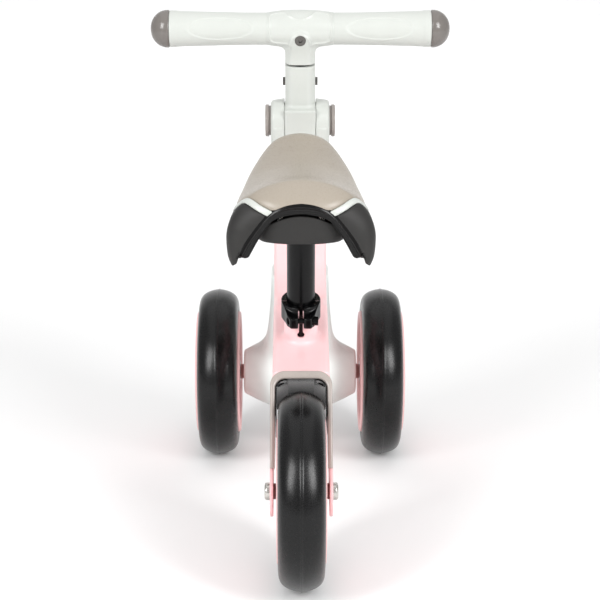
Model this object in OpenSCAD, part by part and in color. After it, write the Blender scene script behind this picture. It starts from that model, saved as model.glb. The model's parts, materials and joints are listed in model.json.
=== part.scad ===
// Child's balance bike: one rear wheel in a beam frame and two front wheels on a T-shaped fork.
// X is to the rider's right, Y points forward and Z up. The origin is on the ground, in the middle.

/* [Wheels] */
// Outer diameter of every wheel
wheel_d = 175; // [165:1:180]
// Width of the tyres
tyre_w = 41; // [36:1:42]
// Diameter of the rims under the tyres
rim_d = 128; // [110:1:136]
// Distance from the rear axle to the front axle
wheelbase = 334; // [330:1:360]
// Distance between the middles of the two front wheels
track = 170; // [168:1:190]

/* [Frame] */
// Width of the beam
beam_w = 51; // [50:1:53]
// Outer width across the two rear arms
arms_w = 55; // [54:1:58]
// Thickness of the arms and of the beam's wall
wall = 3; // [2.5:0.1:3.2]
// Backward lean of the head tube and the steering column, in degrees
steer_lean = 12; // [10:1:14]
// Backward lean of the seat tube, in degrees
seat_lean = 15; // [13:1:17]

/* [Seat] */
// Diameter of the seat post
post_d = 25.4; // [25:0.1:26]
// Diameter of the seat tube
seat_tube_d = 31; // [30:0.5:32]
// Length of seat post that shows between the clamp and the saddle
post_shown = 58; // [50:1:64]
// Width of the saddle over its rear wings
saddle_w = 134; // [124:1:140]

/* [Steering] */
// Diameter of the steel steering column
column_d = 28.6; // [28:0.1:29]
// Width of the fork at its crown
crown_w = 58; // [56:1:62]
// Width of the fork's hub between the front wheels
hub_w = 118; // [114:1:119]
// Width of the hinge housing
hinge_w = 57; // [54:1:60]
// Travel of the two hinge buttons
button_travel = 1.8; // [1:0.1:2]

/* [Handlebar] */
// Overall width of the handlebar
bar_w = 285; // [260:1:320]
// Height of the handlebar's middle over the ground
bar_z = 460; // [455:1:470]
// Diameter of the round end caps
cap_d = 36; // [34:0.5:38]
// Diameter of the stem
stem_d = 29; // [28.8:0.1:30]

/* [Hidden] */
$fn = 64;
hull_fn = 32;
axle_z = wheel_d/2;
axle_d = 8;
// Radial play of a shaft in its bore
play = 0.05;
// Gap between parts that move past each other
gap = 0.3;

// Steering column, measured along its own axis from the height of the axles
column_y = wheelbase/2 - 8;
crown_t = 123;
head_t = [127.5, 243];
head_w = 53;
head_d = 50;
head_corner = 20;
hinge_t = 287;
split_y = 4;
housing_t = 247;
cross_t = 328;
collar_t = 347;
bar_bolt_t = 375;
bolt_seat = 15.4;
tube_top = 369;
bar_t = (bar_z - axle_z)/cos(steer_lean);
grip_end = bar_w/2 - 18;
hinge_r = 21.8;
tongue_w = 30;
stem_corner = 9;
slot_floor = 15;
stub_x = 17.2;

// Seat tube, measured along its own axis from the top of the clamp
clamp_y = -70;
clamp_z = 232;
tube_down = -78;
post_down = -56;
post_up = post_shown + 12;
relief_z = -26;
clamp_bolt_r = 2.6;
ear_face = 11;
post_r = post_d/2;

// Rear arch: a flat rim that leans forward from the arms up to the beam
rim_top = [-120.9, 182.6];
rim_low = [-170, 109];
rim_len = norm(rim_top - rim_low);
rim_lean = atan2(rim_top[1] - rim_low[1], rim_top[0] - rim_low[0]);
arch_r = 101;
arch_w = 46.4;
arch_corner = 13;

// Wheels and axles
rear_y = -wheelbase/2;
front_y = wheelbase/2;
hub_half = 22;
hub_outer = 13;
bearing = [11, 7];
head_r = 7.7;

pink = [0.97, 0.80, 0.80];
rim_pink = [0.90, 0.71, 0.71];
white = [0.95, 0.95, 0.94];
pale_grey = [0.86, 0.87, 0.85];
taupe = [0.62, 0.59, 0.56];
beige = [0.73, 0.71, 0.65];
black = [0.16, 0.16, 0.16];
steel = [0.77, 0.76, 0.74];
dusky_pink = [0.63, 0.48, 0.46];

// Points of an arc in the plane
function arc(c, r, a, b, n) = [for (i = [0:n]) let (t = a + (b - a)*i/n) [c[0] + r*cos(t), c[1] + r*sin(t)]];

// Linear interpolation in a list of [key, value] pairs
function lerp_at(v, pairs, i = 0) =
  i >= len(pairs) - 2 || v <= pairs[i + 1][0]
  ? pairs[i][1] + (pairs[i + 1][1] - pairs[i][1])*(v - pairs[i][0])/(pairs[i + 1][0] - pairs[i][0])
  : lerp_at(v, pairs, i + 1);

// A closed skin over a list of rings that have the same number of points.
// Seen from the last ring towards the first, the points of a ring run anticlockwise.
module loft(rings) {
  n = len(rings[0]);
  m = len(rings);
  sides = [
    for (j = [0:m - 2], i = [0:n - 1])
      let (a = j*n + i, b = j*n + (i + 1)%n)
      each [[a, b + n, b], [a, a + n, b + n]]
  ];
  first = [for (i = [0:n - 1]) i];
  last = [for (i = [n - 1:-1:0]) (m - 1)*n + i];
  polyhedron([for (r = rings) each r], concat(sides, [first, last]), convexity = 6);
}

// Frames of the steering column and of the seat tube: +Z runs up their axes
module on_column(t = 0) {
  translate([0, column_y, axle_z]) rotate([steer_lean, 0, 0]) translate([0, 0, t]) children();
}

module on_seat_tube(t = 0) {
  translate([0, clamp_y, clamp_z]) rotate([seat_lean, 0, 0]) translate([0, 0, t]) children();
}

// A cylinder along X between two places
module rod_x(x0, x1, r) {
  translate([x0, 0, 0]) rotate([0, 90, 0]) cylinder(h = x1 - x0, r = r);
}

module ring(h, r_out, r_in) {
  difference() {
    cylinder(h = h, r = r_out);
    translate([0, 0, -1]) cylinder(h = h + 2, r = r_in);
  }
}

module ring_x(x0, x1, r_out, r_in) {
  translate([x0, 0, 0]) rotate([0, 90, 0]) ring(x1 - x0, r_out, r_in);
}

// A rectangle with round corners, built so that its arcs stay exact
module round_rect(w, d, r) {
  square([w - 2*r, d], center = true);
  square([w, d - 2*r], center = true);
  for (sx = [-1, 1], sy = [-1, 1]) translate([sx*(w/2 - r), sy*(d/2 - r)]) circle(r);
}

module round_bar(w, d, h, r) {
  linear_extrude(h) round_rect(w, d, r);
}

// A side view outline in Y and Z, pulled along X to the width w
module side_plate(points, w, x = 0) {
  translate([x - w/2, 0, 0]) rotate([90, 0, 90]) linear_extrude(w) polygon(points);
}

// Rear beam -------------------------------------------------------------------------------

// Side view of the beam from the arch, along the top, up the neck and back underneath
function beam_outline() = concat(
  [rim_top, [-60, 197.5], [0, 209]],
  arc([20, 290], 82, -84, -20, 8),
  [[101, 300], [110, 214]],
  [[62, 184], [10, 168], [-45, 157], [-88, 140]],
  [[-112, 120], [-128, 140]]
);

function beam_hollow() = [[-100, 187], [-60, 194], [0, 205.5], [34, 213], [60, 205],
                          [10, 172], [-45, 161], [-80, 149]];

function arm_outline() = concat(
  [rim_top, [-98, 186], [-72, 150], [-100, 118]],
  [[-128, 78]],
  arc([rear_y, axle_z], 22, -35, -170, 12),
  [[rim_low[0] - 17, rim_low[1] - 9], rim_low]
);

// The arch seen square on to its rim: straight sides and a top with two round corners
module arch_plan(w, top, r) {
  translate([-w/2, -rim_len]) square([w, rim_len + top - r]);
  translate([-w/2 + r, top - r - 1]) square([w - 2*r, r + 1]);
  for (s = [-1, 1]) translate([s*(w/2 - r), top - r]) circle(r);
}

module on_rim() {
  translate([0, rim_top[0], rim_top[1]]) rotate([rim_lean, 0, 0]) children();
}

module frame_beam() {
  color(pink) difference() {
    union() {
      side_plate(beam_outline(), beam_w);
      for (s = [-1, 1]) side_plate(arm_outline(), wall, s*(arms_w - wall)/2);
      on_rim() translate([0, 0, -8]) linear_extrude(8) difference() {
        arch_plan(arms_w, 0, arch_corner);
        translate([0, -rim_len/2 - 30]) square([arch_w + 2*gap, rim_len + 46], center = true);
        translate([0, -rim_len]) square([arms_w + 2, 3], center = true);
      }
    }
    translate([0, rear_y, axle_z]) rod_x(-arch_w/2, arch_w/2, arch_r);
    translate([0, rear_y, axle_z]) rod_x(-arms_w, arms_w, axle_d/2 + play);
    side_plate(beam_hollow(), beam_w - 2*wall);
    on_seat_tube(-150) cylinder(h = 200, r = seat_tube_d/2);
    on_column(head_t[0] - 10) round_bar(head_w, head_d, 150, head_corner);
  }
}

module head_tube() {
  h = head_t[1] - head_t[0];
  color(pink) on_column(head_t[0]) difference() {
    round_bar(head_w, head_d, h, head_corner);
    translate([0, 0, -1]) cylinder(h = h + 2, r = column_d/2 + 2);
    translate([0, 0, -1]) cylinder(h = 9, r = 21);
    translate([0, 0, h - 8]) cylinder(h = 9, r = 21);
  }
}

module seat_tube() {
  color(pink) on_seat_tube() difference() {
    translate([0, 0, tube_down]) cylinder(h = -tube_down - 1, r = seat_tube_d/2);
    translate([0, 0, tube_down - 1]) cylinder(h = 100, r = post_r + play);
    translate([-1.6, -seat_tube_d, relief_z]) cube([3.2, seat_tube_d, 40]);
    translate([0, 0, relief_z]) rotate([90, 0, 0]) cylinder(h = seat_tube_d, r = 3.2);
  }
}

module arch_trim() {
  color(taupe) on_rim() linear_extrude(3.2) difference() {
    arch_plan(arms_w, 0, arch_corner);
    translate([0, 0]) arch_inner();
  }
}

module arch_inner() {
  arch_plan_inner_r = arch_corner - 4;
  translate([0, -7]) arch_plan(arch_w, 0, arch_plan_inner_r);
}

// Black liner between the arms: a roof that follows the wheel, with two cheeks
module wheel_guard() {
  color(black) translate([0, rear_y, axle_z]) intersection() {
    difference() {
      rod_x(-arch_w/2, arch_w/2, arch_r - 0.2);
      rod_x(-arch_w/2 + 1.3, arch_w/2 - 1.3, arch_r - 2);
      rod_x(-arch_w, arch_w, 66);
    }
    side_plate([[48, 14], [67, 33], [85, 53], [104, 60], [104, 80], [60, 104], [49, 99], [0, 27]], arch_w);
  }
}

module lower_bearing() {
  color(steel) on_column(head_t[0] + 0.5) ring(7.5, 21, column_d/2 + play);
}

module upper_bearing() {
  color(steel) on_column(head_t[1] - 8) ring(7.5, 21, column_d/2 + play);
}

// Seat clamp: a ring with a lip over the tube's end and two ears that reach back past the slot
module seat_clamp() {
  h = 17.5;
  low = -14;
  ear_y = -25;
  color(black) on_seat_tube(low) difference() {
    linear_extrude(h) union() {
      circle(17.8);
      polygon([[-17.4, -4], [-12, ear_y + 3], [12, ear_y + 3], [17.4, -4]]);
      translate([-9, ear_y]) square([18, 6]);
      for (s = [-1, 1]) translate([s*9, ear_y + 3]) circle(3);
    }
    translate([0, 0, -1]) cylinder(h = -low + 1, r = seat_tube_d/2);
    cylinder(h = h + 1, r = post_r + gap);
    translate([-2.5, ear_y - 1, -1]) cube([5, 24, h + 2]);
    translate([0, ear_y + 5, 6]) rod_x(-20, 20, clamp_bolt_r);
    translate([0, ear_y + 5, 6]) rod_x(ear_face, 20, 4.3);
  }
}

// The bolt crosses both ears: its head is in the right one and its thread in the left one
module clamp_bolt() {
  color(black) on_seat_tube(-8) translate([0, -20, 0]) difference() {
    union() {
      rod_x(-10.5, ear_face + 1, clamp_bolt_r - play);
      rod_x(ear_face, 15.5, 4);
    }
    translate([14, 0, 0]) rotate([0, 90, 0]) cylinder(h = 3, r = 2.3, $fn = 6);
  }
}

module button_head(x, s, r, h) {
  translate([x, 0, 0]) rotate([0, s*90, 0]) difference() {
    rotate_extrude() polygon(concat([[0, 0], [r, 0]], arc([r - 2.4, h - 2.4], 2.4, 0, 90, 6), [[0, h]]));
    translate([0, 0, h - 2]) cylinder(h = 3, r = 2.9, $fn = 6);
  }
}

module rear_axle() {
  color(steel) translate([0, rear_y, axle_z]) {
    rod_x(-arms_w/2, arms_w/2 - 1, axle_d/2);
    button_head(-arms_w/2, -1, head_r, 4.8);
  }
}

module rear_axle_nut() {
  color(steel) translate([0, rear_y, axle_z]) button_head(arms_w/2, 1, head_r, 4.8);
}

module rear_spacers() {
  inner = arms_w/2 - wall;
  color(dusky_pink) translate([0, rear_y, axle_z]) for (s = [-1, 1])
    ring_x(min(s*inner, s*(hub_half + gap)), max(s*inner, s*(hub_half + gap)), 7, axle_d/2);
}

// Saddle ----------------------------------------------------------------------------------

module seat_post() {
  color(black) on_seat_tube(post_down) ring(post_up - post_down, post_r, post_r - 1.8);
}

module post_plug() {
  color(black) on_seat_tube(post_down - 1) union() {
    cylinder(h = 1, r = post_r - 0.4);
    cylinder(h = 8, r = post_r - 1.8);
  }
}

// Outline of the saddle from above, its crest and the height of its widest line, along Y
saddle_rear = -118;
saddle_nose = 43;
half_width = [[-120, 64], [-112, 66.5], [-104, 66.6], [-88, 64.6], [-60, 59.7], [-31, 53.8], [-6, 47.8],
              [10, 41.4], [25, 34.6], [34, 29.7], [40, 17.4], [43, 6]];
crest_z = [[-120, 332], [-112, 341], [-104, 349], [-96, 351], [-70, 349], [-40, 350.5], [-10, 356],
           [15, 363], [30, 367.5], [38, 366], [43, 360]];
edge_z = [[-120, 290], [-104, 292], [-88, 301], [-60, 310], [-31, 319], [-6, 329], [18, 343], [43, 353]];
skirt_z = [[-120, 279], [-108, 277], [-92, 284], [-70, 297], [-31, 308], [18, 331], [43, 347]];

// One ring of the saddle: an arch from the left edge over the crest to the right edge
function saddle_ring(y, inset) =
  let (
    w = max(lerp_at(y, half_width)*saddle_w/134 - inset, 2),
    top = lerp_at(y, crest_z) - inset,
    side = min(lerp_at(y, edge_z), top - 3),
    low = min(lerp_at(y, skirt_z), side - 2) - (inset > 0 ? 30 : 0)
  )
  concat(
    [for (i = [0:16]) let (a = -90 + 180*i/16, s = sin(a), c = cos(a))
      [w*s, y, side + (top - side)*c]],
    [[w*0.9, y, low], [-w*0.9, y, low]]
  );

module saddle_solid(inset = 0, y0 = saddle_rear, y1 = saddle_nose) {
  n = 20;
  loft([for (i = [0:n]) saddle_ring(y0 + (y1 - y0)*(1 - pow(1 - i/n, 1.4)), inset)]);
}

module saddle_shell(t) {
  difference() {
    saddle_solid();
    saddle_solid(t, saddle_rear - 5, saddle_nose - t);
  }
}

// The line in side view along which the cover ends and the base begins
trim_line = [[-125, 318], [-117, 323], [-108, 334], [-95, 331], [-60, 317], [-25, 317], [20, 335], [50, 350]];

module saddle_band(low, high) {
  side_plate(concat(
    [for (p = trim_line) [p[0], p[1] + low]],
    [for (i = [len(trim_line) - 1:-1:0]) [trim_line[i][0], trim_line[i][1] + high]]
  ), 160);
}

module saddle_cover() {
  color(beige) intersection() {
    saddle_shell(13);
    saddle_band(2.5, 60);
  }
}

module saddle_trim() {
  color(white) intersection() {
    saddle_shell(8);
    saddle_band(-2.5, 2.5);
  }
}

module saddle_base() {
  color(black) intersection() {
    saddle_shell(6);
    saddle_band(-90, -2.5);
  }
}

// Tub under the saddle that the seat post enters
module saddle_pan() {
  color(black) difference() {
    intersection() {
      pan_body(0);
      saddle_solid(13, saddle_rear - 5, saddle_nose - 13);
    }
    pan_body(2.5);
    on_seat_tube(0) cylinder(h = 120, r = post_r);
  }
}

module pan_body(t) {
  hull() {
    translate([0, -84, 294.5 + t]) linear_extrude(1) round_rect(72 - 2*t, 46 - 2*t, 20 - t);
    translate([0, -84, 302 + t]) linear_extrude(44) round_rect(82 - 2*t, 54 - 2*t, 22 - t);
  }
}

module saddle_bracket() {
  color(steel) translate([0, -84, 303.6]) difference() {
    round_bar(48, 34, 3, 5);
    for (sx = [-1, 1], sy = [-1, 1]) translate([sx*18, sy*12, -1]) cylinder(h = 5, r = 2.6);
  }
}

module saddle_screws() {
  color(steel) translate([0, -84, 301.1]) for (sx = [-1, 1], sy = [-1, 1]) translate([sx*18, sy*12, 0]) {
    cylinder(h = 2.5, r = 4.5);
    cylinder(h = 16, r = 2.5);
  }
}

// Fork and steering column -------------------------------------------------------------------

module at_front_axle() {
  translate([0, front_y, axle_z]) children();
}

module fork_core() {
  color(steel) difference() {
    union() {
      on_column(0) cylinder(h = hinge_t - slot_floor - 8, r = column_d/2);
      at_front_axle() rod_x(-hub_w/2 + 4, hub_w/2 - 4, 14);
    }
    on_column(18) cylinder(h = 400, r = column_d/2 - 2.3);
    at_front_axle() rod_x(-hub_w, hub_w, axle_d/2);
  }
}

// Radius of the hub against the distance from its middle
function hub_side(t) = concat(
  [[0, hub_w/2 - t], [19.5, hub_w/2 - t]],
  arc([18.5, hub_w/2 - 3.2], 3.2 - min(t, 1), 70, 20, 4),
  [[24 - t, hub_w/2 - 3.5], [30.2 - t, 43.5], [35 - t, 31], [37 - t, 16], [37.5 - t, 0]]
);

module hub_shape(t) {
  half = hub_side(t);
  rotate([0, 90, 0]) rotate_extrude() polygon(concat(
    half, [for (i = [len(half) - 2:-1:0]) [half[i][0], -half[i][1]]]
  ));
}

module fork_column(t) {
  on_column(0) {
    hull() {
      translate([0, 0, crown_t - 5 - t]) slab(crown_w - 2*t, 46 - 2*t, 5, 15 - t);
      translate([0, 2, 52]) slab(67 - 2*t, 48 - 2*t, 2, 16 - t);
    }
    hull() {
      translate([0, 2, 52]) slab(67 - 2*t, 48 - 2*t, 2, 16 - t);
      translate([0, 4, 38]) slab(76 - 2*t, 52 - 2*t, 2, 18 - t);
    }
    hull() {
      translate([0, 4, 38]) slab(76 - 2*t, 52 - 2*t, 2, 18 - t);
      translate([0, 7, 24]) slab(88 - 2*t, 50 - 2*t, 2, 18 - t);
    }
  }
}

module slab(w, d, h, r) {
  linear_extrude(h) for (sx = [-1, 1], sy = [-1, 1])
    translate([sx*(w/2 - r), sy*(d/2 - r)]) circle(r, $fn = hull_fn);
}

module fork_half(front) {
  color(pale_grey) difference() {
    intersection() {
      union() {
        fork_column(0);
        at_front_axle() hub_shape(0);
      }
      on_column(0) translate([-80, front ? split_y : split_y - 80, -60]) cube([160, 80, 300]);
    }
    fork_column(3);
    at_front_axle() hub_shape(3);
    on_column(0) cylinder(h = 400, r = column_d/2);
    at_front_axle() rod_x(-hub_w/2 + 4, hub_w/2 - 4, 14);
    at_front_axle() rod_x(-80, 80, 7.7);
    fork_screw_places() cylinder(h = 30, r = 3.4);
    fork_screw_places() translate([0, 0, -13]) cylinder(h = 14, r = 1.8 + play);
  }
}

// Four screws join the halves from the front; +Z here runs forward out of each hole
module fork_screw_places() {
  on_column(0) for (p = [[-21, 19.6, 96], [21, 19.6, 96], [-27, 25, 42], [27, 25, 42]])
    translate(p) rotate([-90, 0, 0]) children();
}

module fork_shell_front() {
  fork_half(true);
}

module fork_shell_rear() {
  fork_half(false);
}

module fork_screws() {
  color(steel) fork_screw_places() {
    cylinder(h = 2.4, r = 3.3);
    translate([0, 0, -12]) cylinder(h = 12, r = 1.8);
  }
}

module crown_race() {
  color(dusky_pink) on_column(crown_t) ring(head_t[0] - crown_t - gap, 25.5, column_d/2);
}

module top_race() {
  color(dusky_pink) on_column(head_t[1] + gap) ring(housing_t - head_t[1] - gap, 22, column_d/2);
}

// Folding hinge ---------------------------------------------------------------------------------

module hinge_housing() {
  depth = 2*hinge_r;
  color(white) on_column(0) difference() {
    union() {
      translate([0, 0, housing_t]) round_bar(hinge_w, depth, hinge_t - housing_t, 8);
      translate([0, 0, hinge_t]) rod_x(-hinge_w/2, hinge_w/2, hinge_r);
    }
    translate([-tongue_w/2 - gap, -60, hinge_t - slot_floor]) cube([tongue_w + 2*gap, 120, 80]);
    translate([0, 0, 0]) cylinder(h = hinge_t - slot_floor - 8, r = column_d/2);
    translate([0, 0, hinge_t]) rod_x(-60, 60, 6);
    for (s = [-1, 1]) translate([0, 0, hinge_t])
      rod_x(min(s*24.5, s*60), max(s*24.5, s*60), 15);
  }
}

module hinge_pin() {
  color(steel) on_column(hinge_t) ring_x(-24.4, 24.4, 6, 4);
}

// Coil of round wire along X, swept as one closed tube, as long as it is with both buttons pressed
module button_spring() {
  turns = 7;
  steps = 12*turns;
  coil_r = 2.9;
  wire_r = 0.45;
  span = 2*(stub_x - button_travel - gap - wire_r);
  color(steel) on_column(hinge_t) loft([
    for (i = [0:steps]) let (a = 360*turns*i/steps, x = -span/2 + span*i/steps)
      [for (k = [0:7]) let (b = 360*k/8, r = coil_r + wire_r*cos(b))
        [x - wire_r*sin(b), r*cos(a), r*sin(a)]]
  ]);
}

module hinge_button(s) {
  near = 24.5 + button_travel + gap;
  neck = 30.5;
  outer = 34;
  color(taupe) on_column(hinge_t) union() {
    rod_x(min(s*near, s*neck), max(s*near, s*neck), 14.6);
    rod_x(min(s*neck, s*outer), max(s*neck, s*outer), 15.75);
    rod_x(min(s*stub_x, s*near), max(s*stub_x, s*near), 3.6);
  }
}

module button_left() {
  hinge_button(-1);
}

module button_right() {
  hinge_button(1);
}

// Stem and handlebar ---------------------------------------------------------------------------

module stem_knuckle() {
  color(white) on_column(hinge_t) difference() {
    union() {
      rod_x(-tongue_w/2, tongue_w/2, slot_floor - gap);
      translate([-tongue_w/2, -hinge_r, -slot_floor + 1.5]) cube([tongue_w, hinge_r, 32]);
      linear_extrude(collar_t - hinge_t) round_rect(stem_d, stem_d, stem_corner);
    }
    rod_x(-60, 60, 6 + play);
    translate([0, 0, 18]) cylinder(h = 100, r = 12.5);
    translate([0, 0, cross_t - hinge_t]) rod_x(-60, 60, 2.5);
  }
}

module stem_tube() {
  low = hinge_t + 19;
  color(steel) on_column(low) difference() {
    ring(tube_top - low, 12.5, 11);
    translate([0, 0, cross_t - low]) rod_x(-60, 60, 2.5);
  }
}

module stem_cross_bolt() {
  color(steel) on_column(cross_t) {
    rod_x(-stem_d/2 - 2.3, -stem_d/2, 4);
    rod_x(-stem_d/2 - 1, stem_d/2 + 1, 2.5);
  }
}

module stem_cross_nut() {
  color(steel) on_column(cross_t) ring_x(stem_d/2, stem_d/2 + 2.3, 4, 2.5);
}

// Outline of the bar's middle, thicker over the stem: radius against distance from the middle
bar_side = [[0, -34], [15.2, -34], [16.6, -26], [17.6, -12], [17.6, 12], [16.6, 26], [15.2, 34], [0, 34]];

module handlebar_body() {
  color(white) on_column(0) difference() {
    union() {
      translate([0, 0, collar_t + 2]) linear_extrude(bar_t - collar_t - 2)
        round_rect(stem_d, stem_d, stem_corner);
      translate([0, 0, bar_t]) rotate([0, 90, 0]) rotate_extrude() polygon(bar_side);
    }
    translate([0, 0, collar_t]) cylinder(h = tube_top - collar_t, r = 12.5);
    translate([0, 0, bar_t]) rod_x(-60, 60, 11);
    translate([0, 0, bar_bolt_t]) rotate([90, 0, 0]) cylinder(h = 40, r = 2.5);
    translate([0, -bolt_seat, bar_bolt_t]) rotate([90, 0, 0]) cylinder(h = 20, r = 5.5);
  }
}

module handlebar_core() {
  color(steel) on_column(bar_t) difference() {
    ring_x(-grip_end, grip_end, 11, 9.5);
    translate([0, 0, bar_bolt_t - bar_t]) rotate([90, 0, 0]) cylinder(h = 40, r = 2.5);
  }
}

module handlebar_bolt() {
  color(steel) on_column(bar_bolt_t) {
    translate([0, -bolt_seat, 0]) rotate([90, 0, 0]) difference() {
      cylinder(h = 2.6, r = 5.2);
      translate([0, 0, 0.8]) cylinder(h = 3, r = 2.4, $fn = 6);
    }
    translate([0, -5, 0]) rotate([90, 0, 0]) cylinder(h = bolt_seat - 5, r = 2.5);
  }
}

// Outline of a grip: distance from the bar's middle against radius
function grip_side() = [[34, 14.6], [40, 15.2], [60, 15.8], [85, 15.4], [grip_end - 19, 15.5],
                        [grip_end - 7, 16.2], [grip_end - 3, 17.4], [grip_end, 17.4]];

module grip(s) {
  color(white) on_column(bar_t) rotate([0, s*90, 0]) rotate_extrude() polygon(concat(
    [for (p = grip_side()) [p[1], p[0]]], [[11, grip_end], [11, 34]]
  ));
}

module grip_left() {
  grip(-1);
}

module grip_right() {
  grip(1);
}

module end_cap(s) {
  r = cap_d/2;
  long = bar_w/2 - grip_end;
  color(taupe) on_column(bar_t) rotate([0, s*90, 0]) translate([0, 0, grip_end])
    rotate_extrude() polygon(concat(
      [[0, -10], [9.4, -10], [9.4, 0], [r - 0.6, 0], [r, 1.5]],
      [for (i = [1:12]) let (a = 90*i/12) [r*cos(a), 1.5 + (long - 1.5)*sin(a)]]
    ));
}

module end_cap_left() {
  end_cap(-1);
}

module end_cap_right() {
  end_cap(1);
}

// Wheels ---------------------------------------------------------------------------------------

// Rounded tread over straight side walls
module tyre() {
  outer = wheel_d/2;
  inner = rim_d/2;
  side = tyre_w/2;
  // Tread: share of the half width against the drop below the middle
  tread = [[0.02, 0], [0.29, 1.7], [0.54, 3.4], [0.78, 6.2], [0.91, 9.2], [0.98, 12.5], [1, 17]];
  n = len(tread);
  color(black) rotate([0, 90, 0]) rotate_extrude() polygon(concat(
    [[inner, -17], [inner + 2, -side + 0.6], [inner + 4, -side]],
    [for (i = [n - 1:-1:0]) [outer - tread[i][1], -side*tread[i][0]]],
    [for (i = [0:n - 1]) [outer - tread[i][1], side*tread[i][0]]],
    [[inner + 4, side], [inner + 2, side - 0.6], [inner, 17]]
  ));
}

// Rim of two dished faces round a hub; the hub reaches a on the -X side and b on the +X side
module rim(a, b, flange) {
  edge = rim_d/2;
  function face(h, s) = [[bearing[0], s*h], [16, s*h], [18.5, s*(h - 2)], [20, s*9], [44, s*7],
                         [54, s*14], [58, s*(flange - 1)], [60, s*flange], [edge - 1.5, s*flange],
                         [edge, s*(flange - 1.5)]];
  f = face(b, 1);
  r = face(a, -1);
  color(rim_pink) rotate([0, 90, 0]) rotate_extrude() polygon(concat(
    [[5.5, -a + bearing[1]], [bearing[0], -a + bearing[1]]], r,
    [for (i = [len(f) - 1:-1:0]) f[i]],
    [[bearing[0], b - bearing[1]], [5.5, b - bearing[1]]]
  ));
}

module bearings(a, b) {
  color(steel) {
    ring_x(-a, -a + bearing[1], bearing[0], axle_d/2 + play);
    ring_x(b - bearing[1], b, bearing[0], axle_d/2 + play);
  }
}

module at_rear() {
  translate([0, rear_y, axle_z]) children();
}

module at_front(s) {
  translate([s*track/2, front_y, axle_z]) children();
}

module rear_tyre() {
  at_rear() tyre();
}

module rear_rim() {
  at_rear() rim(hub_half, hub_half, 21.5);
}

module rear_bearings() {
  at_rear() bearings(hub_half, hub_half);
}

module front_left_tyre() {
  at_front(-1) tyre();
}

module front_left_rim() {
  at_front(-1) rim(hub_outer, hub_half, 22.6);
}

module front_left_bearings() {
  at_front(-1) bearings(hub_outer, hub_half);
}

module front_right_tyre() {
  at_front(1) tyre();
}

module front_right_rim() {
  at_front(1) rim(hub_half, hub_outer, 22.6);
}

module front_right_bearings() {
  at_front(1) bearings(hub_half, hub_outer);
}

axle_end = track/2 + hub_outer + gap;

module front_axle() {
  color(steel) at_front_axle() rod_x(-axle_end - 2, axle_end + 2, axle_d/2);
}

module front_spacers() {
  inner = track/2 - hub_half - gap;
  color(dusky_pink) at_front_axle() for (s = [-1, 1])
    ring_x(min(s*(hub_w/2 - 4), s*inner), max(s*(hub_w/2 - 4), s*inner), 7.7, axle_d/2);
}

module front_axle_nuts() {
  color(steel) at_front_axle() for (s = [-1, 1]) difference() {
    button_head(s*axle_end, s, head_r, 5.5);
    rod_x(-axle_end - 2, axle_end + 2, axle_d/2);
  }
}

frame_beam();
head_tube();
seat_tube();
arch_trim();
wheel_guard();
lower_bearing();
upper_bearing();
seat_clamp();
clamp_bolt();
rear_axle();
rear_axle_nut();
rear_spacers();
seat_post();
post_plug();
saddle_bracket();
saddle_pan();
saddle_base();
saddle_trim();
saddle_cover();
saddle_screws();
fork_core();
fork_shell_front();
fork_shell_rear();
fork_screws();
crown_race();
top_race();
hinge_housing();
hinge_pin();
button_spring();
front_axle();
front_spacers();
front_axle_nuts();
stem_knuckle();
stem_tube();
stem_cross_bolt();
stem_cross_nut();
handlebar_body();
handlebar_core();
handlebar_bolt();
grip_left();
grip_right();
end_cap_left();
end_cap_right();
button_left();
button_right();
rear_tyre();
rear_rim();
rear_bearings();
front_left_tyre();
front_left_rim();
front_left_bearings();
front_right_tyre();
front_right_rim();
front_right_bearings();
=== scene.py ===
import json
import math

import bmesh
import bpy
import numpy as np
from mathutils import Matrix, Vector, kdtree


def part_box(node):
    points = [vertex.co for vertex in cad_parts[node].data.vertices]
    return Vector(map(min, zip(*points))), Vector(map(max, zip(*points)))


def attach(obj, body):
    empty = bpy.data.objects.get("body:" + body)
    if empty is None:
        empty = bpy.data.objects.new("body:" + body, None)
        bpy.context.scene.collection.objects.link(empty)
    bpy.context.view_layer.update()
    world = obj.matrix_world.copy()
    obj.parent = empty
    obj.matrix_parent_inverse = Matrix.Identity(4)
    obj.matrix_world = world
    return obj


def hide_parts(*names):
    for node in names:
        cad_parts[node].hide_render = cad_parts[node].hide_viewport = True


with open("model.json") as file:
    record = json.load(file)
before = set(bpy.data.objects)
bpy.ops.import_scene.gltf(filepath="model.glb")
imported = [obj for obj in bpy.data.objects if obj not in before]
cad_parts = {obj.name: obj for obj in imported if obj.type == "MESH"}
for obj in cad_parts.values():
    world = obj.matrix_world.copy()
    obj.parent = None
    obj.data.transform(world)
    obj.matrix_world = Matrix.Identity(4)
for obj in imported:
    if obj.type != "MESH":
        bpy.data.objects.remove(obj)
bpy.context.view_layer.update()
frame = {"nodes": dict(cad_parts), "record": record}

NODES = frame["nodes"]
MM = 0.001
SIDES = ((-1, "left"), (1, "right"))

# ---- main places, in millimetres


def box_mm(node):
    low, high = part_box(node)
    return np.array(low)/MM, np.array(high)/MM


def middle(node):
    low, high = box_mm(node)
    return (low + high)/2


def box_round(nodes, margin):
    """The low and high corner of the box round some CAD nodes, with a margin."""
    lows, highs = zip(*map(box_mm, nodes))
    return np.min(lows, axis=0) - margin, np.max(highs, axis=0) + margin


REAR_Y, AXLE_Z = middle("rear_axle")[1:]
FRONT_Y = middle("front_axle")[1]
WHEEL_R = np.ptp(box_mm("rear_tyre"), axis=0)[2]/2
# the steering column leans back and passes just behind the front axle
STEER_LEAN, FORK_RAKE = math.radians(12), 8.0
COLUMN = (FRONT_Y - FORK_RAKE, AXLE_Z)
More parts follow.
